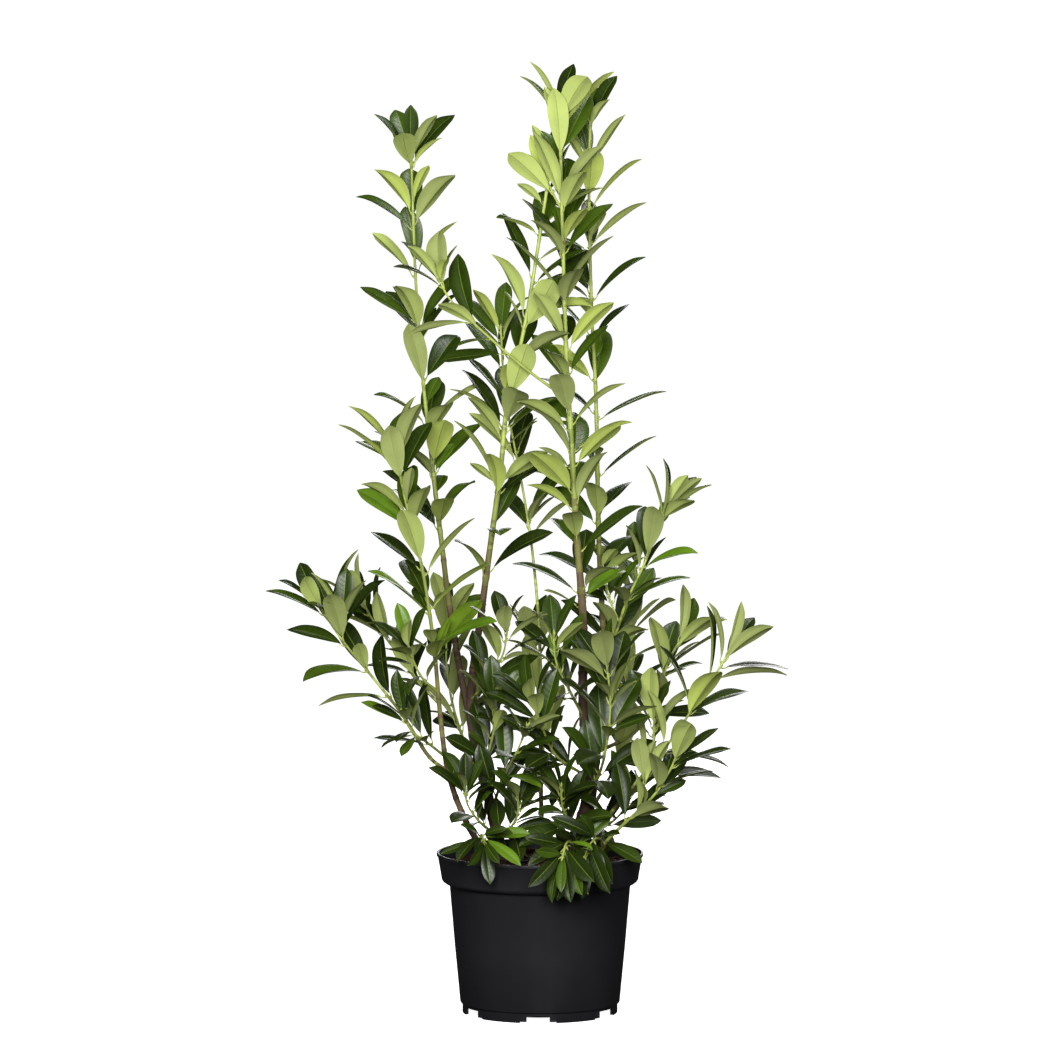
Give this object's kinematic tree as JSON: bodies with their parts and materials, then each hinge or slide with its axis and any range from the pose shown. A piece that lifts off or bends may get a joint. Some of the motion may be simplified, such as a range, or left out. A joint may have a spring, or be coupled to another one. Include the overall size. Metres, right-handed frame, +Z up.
{
  "type": "potted cherry laurel",
  "caption": "Young evergreen cherry laurel hedging shrub with upright leafy stems in a round black nursery pot with a banded rim.",
  "frame": {"origin": "centre of the pot's underside, at the level it stands on", "axes": "+Z up along the pot's axis, -Y towards the viewer in front, +X to that viewer's right"},
  "size_m": [0.7026, 0.4401, 1.2859],
  "materials": {
    "pot_plastic": "satin black moulded plastic",
    "compost": "rough damp bark compost",
    "bark": "smooth young bark",
    "leaves": "glossy leathery leaf"
  },
  "bodies": {
    "root": {"bough_back_far": "bark", "bough_back_left": "bark", "bough_back_low": "bark", "bough_back_mid": "bark", "bough_left_low": "bark", "bough_left_tall": "bark", "bough_pot_front": "bark", "bough_right_low": "bark", "bough_right_lowest": "bark", "bough_right_mid": "bark", "bough_right_rise": "bark", "compost": "compost", "foliage_back_far": "leaves", "foliage_back_left": "leaves", "foliage_back_low": "leaves", "foliage_back_mid": "leaves", "foliage_back_right_lower": "leaves", "foliage_back_right_middle": "leaves", "foliage_back_right_top": "leaves", "foliage_centre_a": "leaves", "foliage_centre_b": "leaves", "foliage_front_left": "leaves", "foliage_front_right": "leaves", "foliage_left_base": "leaves", "foliage_left_low": "leaves", "foliage_left_mid": "leaves", "foliage_left_small": "leaves", "foliage_left_tall_lower": "leaves", "foliage_left_tall_upper": "leaves", "foliage_low_left": "leaves", "foliage_low_mid": "leaves", "foliage_low_right": "leaves", "foliage_middle_base": "leaves", "foliage_middle_lower": "leaves", "foliage_middle_side": "leaves", "foliage_middle_upper": "leaves", "foliage_pot_front": "leaves", "foliage_pot_left": "leaves", "foliage_pot_right": "leaves", "foliage_right_base": "leaves", "foliage_right_low": "leaves", "foliage_right_lower": "leaves", "foliage_right_lowest": "leaves", "foliage_right_mid": "leaves", "foliage_right_middle": "leaves", "foliage_right_rise": "leaves", "foliage_right_side": "leaves", "foliage_right_top": "leaves", "foliage_thin": "leaves", "pot": "pot_plastic", "trunk_back_right": "bark", "trunk_front_left": "bark", "trunk_middle": "bark", "trunk_right": "bark", "trunk_thin": "bark"}
  },
  "joints": []
}
